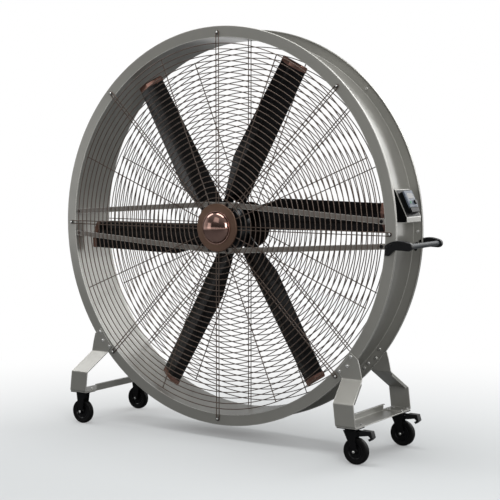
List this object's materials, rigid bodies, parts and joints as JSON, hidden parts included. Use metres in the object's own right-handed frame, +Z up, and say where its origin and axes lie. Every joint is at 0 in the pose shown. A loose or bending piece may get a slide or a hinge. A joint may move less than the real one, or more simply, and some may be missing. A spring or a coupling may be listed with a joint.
{
  "type": "mobile drum fan",
  "caption": "Large mobile drum fan: guarded steel drum with a bladed direct-drive rotor, bent sheet legs on rails with casters, a push handle and a speed controller on the side.",
  "frame": {"origin": "on the floor, below the middle of the whole part's width and depth", "axes": "+Z up; +X to the side with the push handle and the controller; -Y is the side with the bright centre dome"},
  "size_m": [2.0918, 0.56, 2.0689],
  "materials": {
    "drum_paint": "satin warm grey powder coat",
    "guard_wire": "satin grey-brown coat",
    "brown_disc": "dark copper-brown metallic coat",
    "copper": "polished copper colour",
    "zinc_fastener": "zinc plated",
    "black_steel": "satin black",
    "motor_steel": "turned",
    "stator_core": "stacked steel sheet",
    "motor_casting": "dark coated casting",
    "blade_plastic": "satin black moulded",
    "wheel_rubber": "solid tyre",
    "grey_tube": "light grey coat",
    "black_plastic": "moulded black",
    "grey_plastic": "blue-grey moulded cover",
    "green_plastic": "small moulded key"
  },
  "bodies": {
    "fan_frame": {"drum_shell": "drum_paint", "front_flange": "drum_paint", "rear_flange": "drum_paint", "front_guard": "guard_wire", "rear_guard": "guard_wire", "front_centre_disc": "brown_disc", "rear_centre_disc": "brown_disc", "centre_dome": "copper", "guard_bolts": "zinc_fastener", "upper_cross_bar": "drum_paint", "lower_cross_bar": "drum_paint", "bar_end_brackets": "black_steel", "bar_bolts": "zinc_fastener", "motor_plate": "black_steel", "motor_axle": "motor_steel", "motor_stator": "stator_core", "hub_nut": "zinc_fastener", "front_right_leg": "drum_paint", "rear_right_leg": "drum_paint", "front_left_leg": "drum_paint", "rear_left_leg": "drum_paint", "leg_bolts": "zinc_fastener", "right_rail": "drum_paint", "left_rail": "drum_paint", "caster_bolts": "zinc_fastener", "front_left_rigid_fork": "black_steel", "rear_left_rigid_fork": "black_steel", "front_right_swivel_plate": "black_steel", "rear_right_swivel_plate": "black_steel", "handle_tube": "grey_tube", "front_handle_bracket": "black_plastic", "rear_handle_bracket": "black_plastic", "handle_screws": "zinc_fastener", "control_housing": "drum_paint", "drive_base": "black_plastic", "drive_cover": "grey_plastic", "terminal_cover": "black_plastic"},
    "rotor": {"rotor_shell": "motor_casting", "blade_arms": "black_steel", "blade_1": "blade_plastic", "blade_2": "blade_plastic", "blade_3": "blade_plastic", "blade_4": "blade_plastic", "blade_5": "blade_plastic", "blade_6": "blade_plastic", "blade_tip_caps": "copper"},
    "front_left_wheel_body": {"front_left_wheel": "wheel_rubber"},
    "rear_left_wheel_body": {"rear_left_wheel": "wheel_rubber"},
    "front_right_caster": {"front_right_swivel_fork": "black_steel"},
    "front_right_wheel_body": {"front_right_wheel": "wheel_rubber"},
    "front_right_pedal": {"front_right_brake_pedal": "black_steel"},
    "rear_right_caster": {"rear_right_swivel_fork": "black_steel"},
    "rear_right_wheel_body": {"rear_right_wheel": "wheel_rubber"},
    "rear_right_pedal": {"rear_right_brake_pedal": "black_steel"},
    "knob": {"speed_knob": "black_plastic"},
    "key": {"start_key": "green_plastic"}
  },
  "joints": [
    {"name": "rotor_spin", "type": "hinge", "parent": "fan_frame", "child": "rotor", "pos_m": [-0.046, -0.04, 1.069], "axis": [0, 1, 0], "continuous": true},
    {"name": "front_left_wheel_roll", "type": "hinge", "parent": "fan_frame", "child": "front_left_wheel_body", "pos_m": [-0.866, -0.234, 0.0635], "axis": [0, 1, 0], "continuous": true},
    {"name": "front_right_caster_swivel", "type": "hinge", "parent": "fan_frame", "child": "front_right_caster", "pos_m": [0.774, -0.234, 0.15], "axis": [0, 0, 1], "continuous": true},
    {"name": "front_right_wheel_roll", "type": "hinge", "parent": "front_right_caster", "child": "front_right_wheel_body", "pos_m": [0.805, -0.234, 0.0635], "axis": [0, 1, 0], "continuous": true},
    {"name": "front_right_brake_pedal_tilt", "type": "hinge", "parent": "front_right_caster", "child": "front_right_pedal", "pos_m": [0.815, -0.234, 0.1465], "axis": [0, 1, 0], "range_deg": [0, 10]},
    {"name": "rear_left_wheel_roll", "type": "hinge", "parent": "fan_frame", "child": "rear_left_wheel_body", "pos_m": [-0.866, 0.234, 0.0635], "axis": [0, 1, 0], "continuous": true},
    {"name": "rear_right_caster_swivel", "type": "hinge", "parent": "fan_frame", "child": "rear_right_caster", "pos_m": [0.774, 0.234, 0.15], "axis": [0, 0, 1], "continuous": true},
    {"name": "rear_right_wheel_roll", "type": "hinge", "parent": "rear_right_caster", "child": "rear_right_wheel_body", "pos_m": [0.805, 0.234, 0.0635], "axis": [0, 1, 0], "continuous": true},
    {"name": "rear_right_brake_pedal_tilt", "type": "hinge", "parent": "rear_right_caster", "child": "rear_right_pedal", "pos_m": [0.815, 0.234, 0.1465], "axis": [0, 1, 0], "range_deg": [0, 10]},
    {"name": "speed_knob_turn", "type": "hinge", "parent": "fan_frame", "child": "knob", "pos_m": [0.97119, 0.02125, 1.21608], "axis": [-0.8985, 0, -0.4389], "range_deg": [0, 270]},
    {"name": "start_key_press", "type": "slide", "parent": "fan_frame", "child": "key", "axis": [-0.8985, 0, -0.4389], "range_m": [0, 0.0012], "stiffness_N_per_m": 300, "springref_m": -0.0005}
  ]
}
